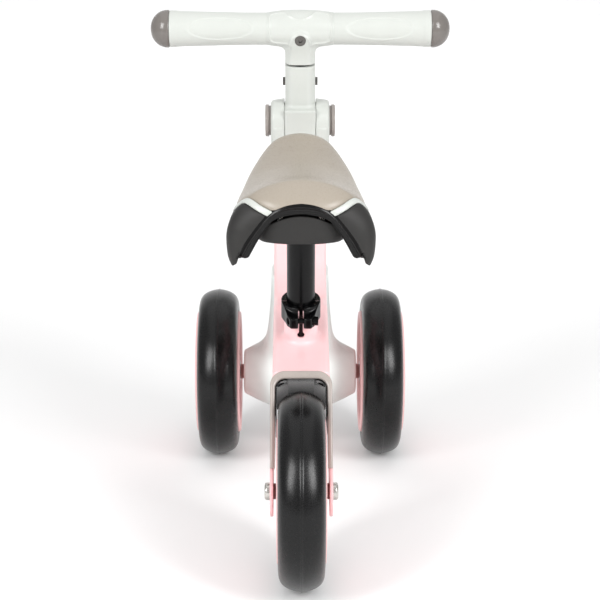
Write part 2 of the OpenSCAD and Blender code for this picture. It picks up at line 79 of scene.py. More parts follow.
# the seat post leans back more; its frame starts at the top of the seat tube
SEAT_LEAN, SEAT_TUBE_TOP = math.radians(15), (-70.0, 232.0)
# heights along the column: hinge pin, gap under the bar's collar, the bar's bolt, middle of the bar
HINGE_T = (middle("hinge_pin")[2] - AXLE_Z)/math.cos(STEER_LEAN)
COLLAR_T, BAR_BOLT_T = 347.0, 375.0
BAR_T = (middle("handlebar_core")[2] - AXLE_Z)/math.cos(STEER_LEAN)
STEM_HALF, STEM_CORNER = 14.5, 9.0
GRIP_END = box_mm("grip_right")[1][0]
BAR_END = box_mm("end_cap_right")[1][0]

# ---- camera


def add(name, data):
    """A new object in the scene."""
    obj = bpy.data.objects.new(name, data)
    bpy.context.scene.collection.objects.link(obj)
    return obj


def make_camera():
    """Straight behind the bike, looking down on it by 16 degrees."""
    camera = bpy.data.cameras.new("camera")
    camera.sensor_width = 36
    camera.lens = 103.8
    obj = add("camera", camera)
    obj.location = (-0.007, -1.577, 0.666)
    obj.rotation_euler = (math.radians(90 - 16), 0, math.radians(-0.235))
    bpy.context.scene.camera = obj


make_camera()

# ---- meshes


def new_object(name, vertices, faces, sharp=35):
    """A mesh object from points in millimetres, shaded smooth up to an edge angle."""
    mesh = bpy.data.meshes.new(name)
    mesh.from_pydata((np.asarray(vertices, float)*MM).tolist(), [], faces)
    mesh.validate()
    mesh.shade_smooth()
    if sharp is not None:
        mesh.set_sharp_from_angle(angle=math.radians(sharp))
    return add(name, mesh)


def closed_object(name, vertices, faces, sharp=35):
    """A mesh object of a closed form, with its faces turned outwards."""
    obj = new_object(name, vertices, faces, sharp)
    b = bmesh.new()
    b.from_mesh(obj.data)
    bmesh.ops.recalc_face_normals(b, faces=b.faces)
    b.to_mesh(obj.data)
    b.free()
    return obj


def put(obj, body, slot, *nodes, look=None):
    """Paints a piece, lets it ride on a body and lets it stand for its CAD nodes."""
    obj.data.materials.clear()
    obj.data.materials.append(M[look or slot])
    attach(obj, body)
    if nodes:
        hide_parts(*nodes)


def grid_faces(rows, columns, around=False, closed=False):
    """Quads of a grid of points stored row by row. around joins each row's ends, and closed joins
    the last row to the first."""
    faces = []
    for j in range(rows if closed else rows - 1):
        a, b = j*columns, (j + 1) % rows*columns
        for i in range(columns if around else columns - 1):
            k = (i + 1) % columns
            faces.append((a + i, a + k, b + k, b + i))
    return faces


def tube_faces(rows, columns):
    """Faces of a tube of rings, with a cap on both ends."""
    last = (rows - 1)*columns
    caps = [tuple(range(columns)), tuple(range(last, last + columns))]
    return grid_faces(rows, columns, around=True) + caps


def revolve(profile, segments, closed=False):
    """Points and faces of a profile of (along, radius) turned round the X axis."""
    profile = np.asarray(profile, float)
    angle = np.arange(segments)*2*math.pi/segments
    y, z = (np.outer(profile[:, 1], turn).ravel() for turn in (np.sin(angle), np.cos(angle)))
    points = np.stack([np.repeat(profile[:, 0], segments), y, z], axis=1)
    return points, grid_faces(len(profile), segments, around=True, closed=closed)


def rounded(corners, steps=5, closed=False):
    """An outline of (a, b, radius) corners, each rounded by its radius."""
    points = [np.array(c[:2], float) for c in corners]
    n = len(points)
    out = []
    for i, p in enumerate(points):
        radius = corners[i][2]
        at_end = not closed and i in (0, n - 1)
        if at_end or radius <= 0:
            out.append(p)
            continue
        a, b = points[i - 1] - p, points[(i + 1) % n] - p
        la, lb = np.linalg.norm(a), np.linalg.norm(b)
        a, b = a/la, b/lb
        half = math.acos(float(a @ b))/2
        reach = min(radius/math.tan(half), la*0.49, lb*0.49)
        for t in np.arange(steps + 1)/steps:
            out.append(p + a*reach*(1 - t)**2 + b*reach*t**2)
    return np.array(out)


def leaned(y, z, origin, lean):
    """Side-view points in a frame at origin that is turned back by lean."""
    c, s = math.cos(lean), math.sin(lean)
    dy, dz = y - origin[0], z - origin[1]
    return dy*c + dz*s, -dy*s + dz*c


def unleaned(a, b, origin, lean):
    """The way back from leaned()."""
    c, s = math.cos(lean), math.sin(lean)
    return origin[0] + a*c - b*s, origin[1] + a*s + b*c


def to_column(x, y, z, t=0.0):
    """(across, forwards, up) in the steering column's frame, t along it."""
    cy, ct = leaned(y, z, COLUMN, STEER_LEAN)
    return x, cy, ct - t


def from_column(points, t):
    """Points of the steering column's frame, t along it, as points of the part."""
    p = np.array(points, float).reshape(-1, 3)
    y, z = unleaned(p[:, 1], p[:, 2] + t, COLUMN, STEER_LEAN)
    return np.stack([p[:, 0], y, z], axis=1)


def to_seat_tube(x, y, z):
    return x, *leaned(y, z, SEAT_TUBE_TOP, SEAT_LEAN)


def smooth_curve(pairs):
    """A monotone curve through (key, value) pairs, as a function of an array."""
    k = np.array([p[0] for p in pairs], float)
    v = np.array([p[1] for p in pairs], float)
    h, d = np.diff(k), np.diff(v)/np.diff(k)
    m = np.zeros(len(k))
    m[0], m[-1] = d[0], d[-1]
    for i in range(1, len(k) - 1):
        if d[i - 1]*d[i] > 0:
            w1, w2 = 2*h[i] + h[i - 1], h[i] + 2*h[i - 1]
            m[i] = (w1 + w2)/(w1/d[i - 1] + w2/d[i])

    def value(x):
        x = np.clip(np.asarray(x, float), k[0], k[-1])
        i = np.clip(np.searchsorted(k, x, side="right") - 1, 0, len(k) - 2)
        t = (x - k[i])/h[i]
        return (v[i]*(1 + 2*t)*(1 - t)**2 + m[i]*h[i]*t*(1 - t)**2
                + v[i + 1]*t*t*(3 - 2*t) + m[i + 1]*h[i]*t*t*(t - 1))
    return value


def ramp(value, start, length):
    """0 up to start, then rising to 1 over a length."""
    return np.clip((value - start)/length, 0, 1)


# ---- solids from distance fields


def union(a, b, fillet=0.0):
    if fillet <= 0:
        return np.minimum(a, b)
    h = np.clip(fillet - np.abs(a - b), 0, None)/fillet
    return np.minimum(a, b) - h*h*fillet*0.25


def cut(a, b, fillet=0.0):
    return -union(-a, b, fillet)


def both(a, b, fillet=0.0):
    return -union(-a, -b, fillet)


def sd_box(x, y, z, half, edge):
    qx, qy, qz = (np.abs(v) - h + edge for v, h in zip((x, y, z), half))
    outer = np.sqrt(np.maximum(qx, 0)**2 + np.maximum(qy, 0)**2 + np.maximum(qz, 0)**2)
    return outer + np.minimum(np.maximum(np.maximum(qx, qy), qz), 0) - edge


def sd_round_rect(x, y, half_x, half_y, corner):
    qx, qy = np.abs(x) - half_x + corner, np.abs(y) - half_y + corner
    return np.hypot(np.maximum(qx, 0), np.maximum(qy, 0)) + np.minimum(np.maximum(qx, qy), 0) - corner


def sd_slab(flat, along, low, high, edge=0.0):
    """A flat shape's distance pulled to a solid from low to high, with rounded edges."""
    a, b = flat + edge, np.abs(along - (low + high)/2) - (high - low)/2 + edge
    return np.hypot(np.maximum(a, 0), np.maximum(b, 0)) + np.minimum(np.maximum(a, b), 0) - edge


def sd_polygon(y, z, points):
    p = np.asarray(points, float)
    best = inside = None
    for i in range(len(p)):
        a, b = p[i - 1], p[i]
        e = b - a
        wy, wz = y - a[0], z - a[1]
        t = np.clip((wy*e[0] + wz*e[1])/(e @ e), 0, 1)
        d = (wy - e[0]*t)**2 + (wz - e[1]*t)**2
        crosses = ((a[1] > z) != (b[1] > z)) & (
            y < (b[0] - a[0])*(z - a[1])/((b[1] - a[1]) or 1e-9) + a[0])
        best = d if best is None else np.minimum(best, d)
        inside = crosses if inside is None else inside ^ crosses
    return np.where(inside, -1, 1)*np.sqrt(best)


CORNERS = [(i, j, k) for i in (0, 1) for j in (0, 1) for k in (0, 1)]
CELL_EDGES = [(a, b) for a in CORNERS for b in CORNERS
              if a < b and sum(abs(p - q) for p, q in zip(a, b)) == 1]


def surface_net(field, low, high, step):
    """Quads on the zero surface of a distance field, sampled on a grid."""
    size = np.ceil((high - low)/step).astype(int) + 1
    axes = [low[i] + step*np.arange(size[i]) for i in range(3)]
    x, y, z = axes[0][:, None, None], axes[1][None, :, None], axes[2][None, None, :]
    value = np.broadcast_to(field(x, y, z), tuple(size)).astype(np.float32)
    inside = value < 0
    cell = tuple(n - 1 for n in size)

    def corner(array, c):
        return array[c[0]:c[0] + cell[0], c[1]:c[1] + cell[1], c[2]:c[2] + cell[2]]

    # one point in each cell that the surface passes: the mean of where it crosses the cell's edges
    count = sum(corner(inside, c).astype(np.uint8) for c in CORNERS)
    mixed = (count > 0) & (count < len(CORNERS))
    index = np.full(cell, -1, np.int64)
    index[mixed] = np.arange(int(mixed.sum()))
    ijk = np.argwhere(mixed)
    total, hits = np.zeros((len(ijk), 3)), np.zeros(len(ijk))
    for a, b in CELL_EDGES:
        va = value[tuple((ijk + a).T)]
        vb = value[tuple((ijk + b).T)]
        on = (va < 0) != (vb < 0)
        t = (va[on]/(va[on] - vb[on]))[:, None]
        total[on] += np.array(a) + t*(np.array(b) - a)
        hits[on] += 1
    points = low + step*(ijk + total/hits[:, None])

    # one quad round each grid edge that the surface crosses
    quads = []
    for axis in range(3):
        u, v = (axis + 1) % 3, (axis + 2) % 3
        first = [slice(1, cell[i]) for i in range(3)]
        first[axis] = slice(0, cell[axis])
        second = list(first)
        second[axis] = slice(1, cell[axis] + 1)
        s0, s1 = inside[tuple(first)], inside[tuple(second)]
        for state in (True, False):
            at = np.argwhere((s0 == state) & (s1 != state))
            around = []
            for shift_u, shift_v in ((1, 1), (0, 1), (0, 0), (1, 0)):
                shift = np.zeros(3, int)
                shift[[u, v]] = shift_u, shift_v
                around.append(index[tuple((at + shift).T)])
            loop = np.stack(around, axis=1)
            quads.append(loop if state else loop[:, ::-1])
    return points, np.concatenate(quads)


def gradient(field, p, reach=0.15):
    out = np.zeros_like(p)
    for i in range(3):
        e = np.zeros(3)
        e[i] = reach
        out[:, i] = field(*(p + e).T) - field(*(p - e).T)
    return out/(2*reach)


def carve(name, field, body, slot, nodes, step, most, margin=2.0, beside=()):
    """A piece from a distance field, in the box of the CAD nodes that it stands for and of those
    beside it. It is thinned to at most so many triangles, its points are moved onto the surface,
    and the field's gradient shades it."""
    points, quads = surface_net(field, *box_round([*nodes, *beside], margin), step)
    obj = new_object(name, points, quads.tolist(), sharp=None)
    triangles = len(quads)*2
    if triangles > most:
        thin = obj.modifiers.new("thin", "DECIMATE")
        thin.ratio = most/triangles
        view = bpy.context.evaluated_depsgraph_get()
        mesh = bpy.data.meshes.new_from_object(obj.evaluated_get(view))
        obj.modifiers.clear()
        obj.data = mesh
    mesh = obj.data
    p = np.empty(len(mesh.vertices)*3)
    mesh.vertices.foreach_get("co", p)
    p = p.reshape(-1, 3)/MM
    for _ in range(3):
        g = gradient(field, p)
        d = field(*p.T)[:, None]
        p -= np.clip(d, -step, step)*g/np.maximum((g*g).sum(1, keepdims=True), 0.25)
    g = gradient(field, p)
    g /= np.maximum(np.linalg.norm(g, axis=1, keepdims=True), 1e-6)
    mesh.vertices.foreach_set("co", (p*MM).ravel())
    mesh.update()
    mesh.shade_smooth()
    mesh.normals_split_custom_set_from_vertices(g.tolist())
    put(obj, body, slot, *nodes)


# ---- materials


def srgb(values):
    """Linear colour from 0 to 255 screen values."""
    v = np.array(values)/255
    return (*np.where(v <= 0.04045, v/12.92, ((v + 0.055)/1.055)**2.4).tolist(), 1.0)


def finish(name, colour, rough, grain_depth, metal=0.0, shade=0.93, grain=0.5, blotch=22.0,
           coat=0.0, bevel=0.0, scratch=0.0, sheen=0.0, specular=0.5, orange_peel=0.0):
    """A procedural finish. Lengths are in millimetres: grain is the size of the surface's fine
    texture, blotch the size of the soft changes of colour, bevel the radius shown on hard edges.
    grain_depth, scratch and orange_peel are depths. shade is the darkest share of the colour."""
    m = bpy.data.materials.new(name)
    m.use_nodes = True
    nodes, links = m.node_tree.nodes, m.node_tree.links
    nodes.clear()
    out = nodes.new("ShaderNodeOutputMaterial")
    bsdf = nodes.new("ShaderNodeBsdfPrincipled")
    links.new(bsdf.outputs["BSDF"], out.inputs["Surface"])
    for socket, value in (("Metallic", metal), ("Specular IOR Level", specular), ("Coat Weight", coat),
                          ("Coat Roughness", 0.12), ("Sheen Weight", sheen), ("Sheen Roughness", 0.5)):
        bsdf.inputs[socket].default_value = value
    coordinates = nodes.new("ShaderNodeTexCoord").outputs["Object"]

    def noise(per_metre, detail, vector=coordinates):
        n = nodes.new("ShaderNodeTexNoise")
        n.inputs["Scale"].default_value = per_metre
        n.inputs["Detail"].default_value = detail
        links.new(vector, n.inputs["Vector"])
        return n.outputs["Fac"]

    def ranged(value, low, high):
        """The middle of a noise's range spread from low to high."""
        r = nodes.new("ShaderNodeMapRange")
        for socket, end in (("From Min", 0.3), ("From Max", 0.7), ("To Min", low), ("To Max", high)):
            r.inputs[socket].default_value = end
        links.new(value, r.inputs["Value"])
        return r.outputs["Result"]

    def bump(height, depth, below):
        b = nodes.new("ShaderNodeBump")
        b.inputs["Strength"].default_value = 1.0
        b.inputs["Distance"].default_value = depth*MM
        links.new(height, b.inputs["Height"])
        if below:
            links.new(below, b.inputs["Normal"])
        return b.outputs["Normal"]

    light = srgb(colour)
    mix = nodes.new("ShaderNodeMix")
    mix.data_type = "RGBA"
    links.new(ranged(noise(1000/blotch, 3), 0, 1), mix.inputs[0])
    mix.inputs[6].default_value = tuple(c*shade for c in light[:3]) + (1.0,)
    mix.inputs[7].default_value = light
    links.new(mix.outputs[2], bsdf.inputs["Base Color"])
    fine = noise(1000/grain, 2)
    rough_spread = 0.06
    links.new(ranged(fine, rough - rough_spread, rough + rough_spread), bsdf.inputs["Roughness"])

    normal = None
    if bevel:
        edge = nodes.new("ShaderNodeBevel")
        edge.samples = 4
        edge.inputs["Radius"].default_value = bevel*MM
        normal = edge.outputs["Normal"]
    if scratch:
        long_marks = nodes.new("ShaderNodeMapping")
        long_marks.inputs["Scale"].default_value = (18, 1, 1)
        links.new(coordinates, long_marks.inputs["Vector"])
        normal = bump(noise(90, 2, long_marks.outputs["Vector"]), scratch, normal)
    if orange_peel:
        normal = bump(noise(1000/3.5, 1), orange_peel, normal)
    links.new(bump(fine, grain_depth, normal), bsdf.inputs["Normal"])
    return m


LOOKS = {
    "pink_paint": dict(colour=(249, 205, 207), rough=0.34, shade=0.95, grain_depth=0.006,
                       orange_peel=0.012, coat=0.25, bevel=0.6),
    "rim_plastic": dict(colour=(238, 190, 190), rough=0.42, grain=0.6, grain_depth=0.02, bevel=0.5),
    "white_plastic": dict(colour=(195, 198, 193), rough=0.32, shade=0.97, grain_depth=0.012, bevel=0.6),
    "grip_rubber": dict(colour=(194, 197, 192), rough=0.44, shade=0.965, grain=0.45,
                        grain_depth=0.035, sheen=0.1),
    "grey_plastic": dict(colour=(226, 232, 229), rough=0.4, shade=0.96, grain_depth=0.02, bevel=0.6),
    "taupe_plastic": dict(colour=(146, 139, 134), rough=0.24, grain_depth=0.015, bevel=0.5),
    "beige_cover": dict(colour=(158, 149, 137), rough=0.3, shade=0.96, grain=0.8, grain_depth=0.05,
                        blotch=30, specular=0.35),
    "black_plastic": dict(colour=(10, 9, 9), rough=0.2, shade=0.85, grain=0.45, grain_depth=0.015,
                          bevel=0.5, specular=0.3),
    # painted shade: a darker copy of the taupe plastic for the end caps' domes, which the top light
    # makes too bright
    "taupe_plastic_shaded": dict(colour=(112, 107, 103), rough=0.2, grain_depth=0.012),
    # painted light: a lighter copy of the taupe plastic for the lip on the rear arch
    "taupe_plastic_lit": dict(colour=(168, 158, 152), rough=0.3, grain_depth=0.015, bevel=0.5),
    "wing_plastic": dict(colour=(44, 43, 42), rough=0.52, shade=0.85, grain_depth=0.03, bevel=0.5,
                         specular=0.3),
    "dusky_plastic": dict(colour=(200, 140, 136), rough=0.5, grain=0.6, grain_depth=0.02, bevel=0.3),
    "tyre_foam": dict(colour=(7, 7, 8), rough=0.27, shade=0.8, grain=0.7, grain_depth=0.03,
                      blotch=14, specular=0.32),
    "black_metal": dict(colour=(4, 4, 5), rough=0.2, shade=0.85, grain=0.4, grain_depth=0.012,
                        bevel=0.5, specular=0.2),
    "post_paint": dict(colour=(6, 6, 7), rough=0.24, shade=0.85, grain=0.4, grain_depth=0.01,
                       scratch=0.004, specular=0.2),
    "zinc_steel": dict(colour=(205, 203, 198), rough=0.26, metal=1.0, grain_depth=0.01,
                       scratch=0.005, bevel=0.4),
    # painted dark reflection: a darker copy of the zinc steel for the bolts at the bar and stem
    "zinc_steel_dark_reflection": dict(colour=(118, 116, 114), rough=0.3, metal=1.0, grain_depth=0.01,
                       scratch=0.005, bevel=0.3),
    "bearing_steel": dict(colour=(190, 189, 186), rough=0.22, metal=1.0, grain=0.4,
                          grain_depth=0.008, scratch=0.004, bevel=0.2),
}
M = {name: finish(name, **look) for name, look in LOOKS.items()}

for part in frame["record"]["subparts"]:
    NODES[part["node"]].data.materials.clear()
    NODES[part["node"]].data.materials.append(M[part["material_slot"]])
# the bolts at the bar and stem wear a darker copy of the zinc steel: painted dark reflection
for name in ("handlebar_bolt", "stem_cross_bolt", "stem_cross_nut"):
    NODES[name].data.materials[0] = M["zinc_steel_dark_reflection"]

# ---- frame

# the sloping rim of the rear arch: its ends as (y, z)
RIM_TOP, RIM_LOW = (-120.9, 182.6), (-170.0, 109.0)
RIM_LEN = math.dist(RIM_TOP, RIM_LOW)
RIM_LEAN = math.atan2(RIM_TOP[1] - RIM_LOW[1], RIM_TOP[0] - RIM_LOW[0])
ARMS_HALF, ARMS_CORNER, WALL = 27.5, 13, 3.0
ARCH_HALF, ARCH_CORNER, ARCH_DROP, ARCH_R = 23.2, 9, 7, 101.0
BEAM_HALF, HEAD_HALF, HEAD_CORNER = 25.5, (26.5, 25), 20
HEAD_LOW, HEAD_HIGH, COLUMN_BORE_R = 127.5, 243.0, 14.6
SEAT_TUBE_R, POST_BORE_R, SEAT_SLOT = 15.5, 12.9, 26


def arc(c, r, start, end, steps):
    """Points of an arc, between angles in degrees."""
    return [(c[0] + r*math.cos(v), c[1] + r*math.sin(v))
            for v in np.radians(np.linspace(start, end, steps + 1))]


# side outlines as (y, z): the beam with the hollow behind its neck, and the arm round the rear axle
BEAM = ([RIM_TOP, (-60, 197.5), (0, 209)] + arc((20, 290), 82, -84, -20, 12)
        + [(101, 300), (110, 214), (62, 184), (10, 168), (-45, 157), (-88, 140),
           (-112, 120), (-128, 140)])
ARM = ([RIM_TOP, (-98, 186), (-72, 150), (-100, 118), (-128, 78)]
       + arc((REAR_Y, AXLE_Z), 22, -35, -170, 16)
       + [(RIM_LOW[0] - 17, RIM_LOW[1] - 9), RIM_LOW])


def on_rim(y, z):
    """(along the rim upwards, out of the rim) of points in side view."""
    return leaned(y, z, RIM_TOP, RIM_LEAN)


def rim_point(up, out):
    return unleaned(up, out, RIM_TOP, RIM_LEAN)


def rim_rect(x, up, half, low, high, corner):
    """A rounded rectangle in the plane of the rim."""
    return sd_round_rect(x, up - (low + high)/2, half, (high - low)/2, corner)


def frame_field(x, y, z):
    beam = sd_slab(sd_polygon(y, z, BEAM), x, -BEAM_HALF, BEAM_HALF, edge=4)
    arms = sd_slab(sd_polygon(y, z, ARM), np.abs(x), ARMS_HALF - WALL, ARMS_HALF, edge=0.7)
    up, out = on_rim(y, z)
    arms = np.maximum(arms, rim_rect(x, up, ARMS_HALF + 0.2, -300, 0, ARMS_CORNER))
    plate = sd_slab(rim_rect(x, up, ARMS_HALF, -140, 0, ARMS_CORNER), out, -8, 0, edge=0.8)
    plate = np.maximum(plate, -(up + RIM_LEN - 1.5))
    body = union(beam, np.minimum(arms, plate), fillet=3)
    cx, cy, ct = to_column(x, y, z)
    head = sd_slab(sd_round_rect(cx, cy, *HEAD_HALF, HEAD_CORNER), ct, HEAD_LOW, HEAD_HIGH, edge=1.5)
    body = union(body, head, fillet=10)
    sx, sy, st = to_seat_tube(x, y, z)
    post_rho = np.hypot(sx, sy)
    body = union(body, sd_slab(post_rho - SEAT_TUBE_R, st, -78, -1, edge=0.6), fillet=5)
    wheel, half = np.hypot(y - REAR_Y, z - AXLE_Z) - ARCH_R, ARCH_HALF + 0.3
    wheel_room = sd_slab(wheel, x, -half, half, edge=2)
    mouth = rim_rect(x, up, ARCH_HALF, -147, -ARCH_DROP, ARCH_CORNER)
    body = cut(cut(body, wheel_room, fillet=0.8), np.maximum(mouth, np.abs(out) - 12), fillet=0.8)
    bore = np.maximum(post_rho - POST_BORE_R, -(st + 84))
    # the clamping slot at the tube's back ends in a round hole
    slot = np.maximum(np.abs(sx) - 1.6, -(st + SEAT_SLOT))
    slot = np.maximum(np.minimum(slot, np.hypot(sx, st + SEAT_SLOT) - 3.3), sy)
    body = cut(body, np.minimum(bore, slot), fillet=0.5)
    return cut(body, np.hypot(cx, cy) - COLUMN_BORE_R)


def rim_path(half, top, corner):
    """An outline of the arch in the rim's plane, as (x, up), from foot to foot. Equal steps along
    every outline keep the lines between two of them square."""
    line = [(half, v) for v in np.linspace(1 - RIM_LEN, top - corner, 26)]
    turn = [(half - corner + corner*math.cos(a), top - corner + corner*math.sin(a))
            for a in np.linspace(0, math.pi/2, 13)[1:]]
    flat = [(half - corner - v, top) for v in np.linspace(0, half - corner, 9)[1:]]
    right = np.array(line + turn + flat)
    return np.concatenate([right, right[-2::-1]*[-1, 1]])


def build_arch_trim():
    """The lip on the rim of the rear arch. It gets lower towards its feet."""
    outer = rim_path(ARMS_HALF, 0, ARMS_CORNER)
    inner = rim_path(ARCH_HALF, -ARCH_DROP, ARCH_CORNER)
    # (share of the way inwards, share of the height)
    section = [(0, 0), (0, 0.6), (0.03, 0.88), (0.1, 1.0), (0.5, 1.06), (0.88, 0.98), (0.97, 0.8),
               (1, 0.5), (1, 0)]
    height, foot_height, foot_length = 3.1, 0.35, 16
    points = []
    for o, i in zip(outer, inner):
        foot = min(1.0, (o[1] + RIM_LEN)/foot_length)
        lift = height*(foot_height + (1 - foot_height)*math.sqrt(foot))
        for inwards, rise in section:
            x, up = o*(1 - inwards) + i*inwards
            points.append((x, *rim_point(up, rise*lift)))
    faces = tube_faces(len(outer), len(section))
    obj = closed_object("arch_lip", points, faces, sharp=50)
    # the lip wears a lighter copy of the taupe plastic: painted light
    put(obj, "frame", "taupe_plastic", "arch_trim", look="taupe_plastic_lit")


CLAMP_LOW, CLAMP_HIGH, CLAMP_R = -14.0, 3.5, 17.8
CLAMP_WEDGE = [(-17.2, -4), (-12.2, -20), (-9, -23.5), (9, -23.5), (12.2, -20), (17.2, -4)]
CLAMP_BOLT, CLAMP_BOLT_R, CLAMP_HEAD_R = (-20, -8), 2.7, 4.3


def clamp_field(x, y, z):
    sx, sy, t = to_seat_tube(x, y, z)
    rho = np.hypot(sx, sy)
    ring = sd_slab(rho - CLAMP_R, t, CLAMP_LOW, CLAMP_HIGH, edge=0.9)
    wedge = sd_slab(sd_polygon(sx, sy, CLAMP_WEDGE), t, CLAMP_LOW, CLAMP_HIGH, edge=0.9)
    slope = np.clip(-sy - 6, 0, None)*0.42
    wedge = both(wedge, t - CLAMP_HIGH + slope, fillet=0.8)
    ears = sd_box(np.abs(sx) - 6.6, sy + 19, t - CLAMP_LOW - 5.5, (3.9, 6, 5.5), edge=2.4)
    body = union(union(ring, wedge, fillet=1.5), ears, fillet=1.2)
    # wide round the seat tube, narrow round the post above it
    bore = np.minimum(np.maximum(rho - SEAT_TUBE_R - 0.05, t), rho - 13)
    body = cut(body, bore, fillet=0.4)
    body = cut(body, np.maximum(np.abs(sx) - 2.5, sy), fillet=0.5)
    bolt = np.hypot(sy - CLAMP_BOLT[0], t - CLAMP_BOLT[1])
    body = cut(body, bolt - CLAMP_BOLT_R, fillet=0.3)
    return cut(body, np.maximum(bolt - CLAMP_HEAD_R, 11 - sx), fillet=0.3)


# the liner over the rear wheel, partly the real guard and partly painted shade: black over the arch's
# shaded inner walls, up to the lip and down the rim's plane. Its side outline as (y, z), and the half
# widths of its skin
LINER = [rim_point(-6, -0.5), rim_point(-61, -0.5), rim_point(-63, -14), (-128, 108), (-119, 101.5),
         (-100, 120.5), (-82, 140.5), (-63, 147.5), (-63, 167.5), (-90, 196), rim_point(4, -9)]
LINER_HALF, LINER_INNER_HALF = 23.0, 21.9
LINER_R, LINER_INNER_R, LINER_HOLE_R = ARCH_R - 0.3, 98.6, 66


def liner_and_shade_field(x, y, z):
    rho = np.hypot(y - REAR_Y, z - AXLE_Z)
    up, out = on_rim(y, z)
    side = np.abs(x)
    flat = np.maximum(sd_polygon(y, z, LINER), rho - LINER_R)
    body = sd_slab(flat, side, -LINER_HALF, LINER_HALF, edge=0.3)
    # the inside follows the tyre's shoulders
    shoulder = 0.62*np.clip(side - 11.5, 0, None)
    inner = np.maximum(side - LINER_INNER_HALF, rho - LINER_INNER_R + shoulder)
    body = cut(body, inner, fillet=0.6)
    mouth = np.maximum(rim_rect(x, up, LINER_INNER_HALF, -150, -8, 8), -out - 9)
    return cut(cut(body, mouth, fillet=0.4), rho - LINER_HOLE_R)


# ---- fork

# by height along the column
fork_half_width = smooth_curve([(0, 38), (24, 37), (36, 35.5), (46, 34), (58, 32.6), (86, 30.3),
                                (124, 28.9)])
fork_half_depth = smooth_curve([(0, 26), (24, 25.5), (40, 25.6), (55, 24.2), (86, 23.6), (124, 23)])
fork_shift = smooth_curve([(0, 9), (24, 7.5), (40, 4.5), (55, 2.2), (86, 1), (124, 0)])
# by distance from the middle
hub_radius = smooth_curve([(0, 38.5), (16, 38), (31, 35.6), (43.5, 30.6), (50, 27.4), (55.5, 24.4),
                           (59, 22.8)])
HUB_HALF, FORK_LOW, FORK_HIGH = 59, 20, 123
FORK_BORE_R, AXLE_BORE_R = 14.5, 8.2
SEAM_AT, SEAM_HALF, SEAM_DEPTH = 4, 0.7, 0.45
# screws in the front face, as (from the middle, up the column)
FORK_SCREWS, SCREW_HOLE_R, SCREW_FLOOR = ((21, 96), (27, 42)), 3.5, 19.6


def fork_field(x, y, z):
    cx, cy, t = to_column(x, y, z)
    flat = sd_round_rect(cx, cy - fork_shift(t), fork_half_width(t), fork_half_depth(t), 15)
    column = sd_slab(flat, t, FORK_LOW, FORK_HIGH, edge=2.2)
    rho, side = np.hypot(y - FRONT_Y, z - AXLE_Z), np.abs(x)
    # the cone's distance is shortened to that of its slope
    hub = both((rho - hub_radius(side))*0.9, side - HUB_HALF, fillet=3)
    body = union(column, hub, fillet=9)
    body = body + SEAM_DEPTH*np.clip(1 - np.abs(cy - SEAM_AT)/SEAM_HALF, 0, 1)
    body = cut(body, np.maximum(np.hypot(cx, cy) - FORK_BORE_R, 60 - t))
    body = cut(body, np.maximum(rho - AXLE_BORE_R, 52 - side))
    for across, up in FORK_SCREWS:
        hole = np.hypot(side - across, t - up) - SCREW_HOLE_R
        body = cut(body, np.maximum(hole, SCREW_FLOOR - cy))
    return body


# ---- hinge and stem

HINGE_HALF, HINGE_DEPTH, CHEEK_TOP_R = 28.5, 21.8, 21.8
TONGUE_HALF, TONGUE_R, PIN_BORE_R = 15.2, 14.7, 6.1


def hinge_field(x, y, z):
    cx, cy, t = to_column(x, y, z, HINGE_T)
    side, pin_rho = np.abs(cx), np.hypot(cy, t)
    # the cheeks' round tops get lower outwards
    top_r = CHEEK_TOP_R - 2.0*ramp(side, 15, 13.5)
    lower = sd_slab(sd_round_rect(cx, cy, HINGE_HALF, HINGE_DEPTH, 7), t, -40, 0, edge=1.2)
    cheeks = sd_slab(pin_rho - top_r, side, 0, HINGE_HALF, edge=3)
    body = np.maximum(union(lower, cheeks, fillet=1.5), side - HINGE_HALF)
    tongue_room = np.maximum(side - TONGUE_HALF - 0.1, -(t + 15))
    button_room = np.maximum(pin_rho - 15.1, 24.5 - side)
    body = cut(cut(body, tongue_room, fillet=0.6), button_room, fillet=0.5)
    body = cut(body, pin_rho - PIN_BORE_R)
    # the column's bore ends in a cone
    return cut(body, np.hypot(cx, cy) - 14.2 + np.clip(t + 23, 0, None))


def stem_tube(cx, cy, t, low, high):
    flat = sd_round_rect(cx, cy, STEM_HALF, STEM_HALF, STEM_CORNER)
    return sd_slab(flat, t, low, high, edge=0.8)


def knuckle_field(x, y, z):
    cx, cy, t = to_column(x, y, z, HINGE_T)
    pin_rho = np.hypot(cy, t)
    tongue = sd_slab(pin_rho - TONGUE_R, cx, -TONGUE_HALF, TONGUE_HALF, edge=0.6)
    block_depth = 10.9
    block = sd_box(cx, cy + block_depth, t - 2.5, (TONGUE_HALF, block_depth, 16), edge=2)
    body = union(tongue, block, fillet=1)
    body = union(body, stem_tube(cx, cy, t, 0, COLLAR_T - HINGE_T), fillet=4)
    return cut(body, pin_rho - PIN_BORE_R)


def build_buttons():
    """The hinge's two buttons: a stem on the pin's axis, a neck, and a cap with a shallow dish."""
    stem_end, neck_end, cap_back, cap_front, dish = 17.2, 26.6, 30.5, 34.0, 0.5
    stem_r, neck_r, cap_r, dish_r = 3.6, 14.6, 15.75, 12.2
    profile = rounded([(stem_end, 0, 0), (stem_end, stem_r, 0.4), (neck_end, stem_r, 0),
                       (neck_end, neck_r, 0.5), (cap_back, neck_r, 0), (cap_back, cap_r, 0.5),
                       (cap_front, cap_r, 1.5), (cap_front, dish_r, 0.4),
                       (cap_front - dish, dish_r - 0.6, 0.3), (cap_front - dish, 0, 0)])
    for side, name in SIDES:
        points, faces = revolve(profile, 96)
        points[:, 0] *= side
        obj = closed_object("button_cap_" + name, from_column(points, HINGE_T), faces)
        put(obj, name + "_button", "taupe_plastic", "button_" + name)


# ---- handlebar

BAR_BODY_HALF, BAR_SKIN_R = 31.8, 17.2
bar_radius = smooth_curve([(0, 17.9), (8, 17.8), (18, 17.2), (27, 16.1), (31.8, 15.5), (40, 15.2)])


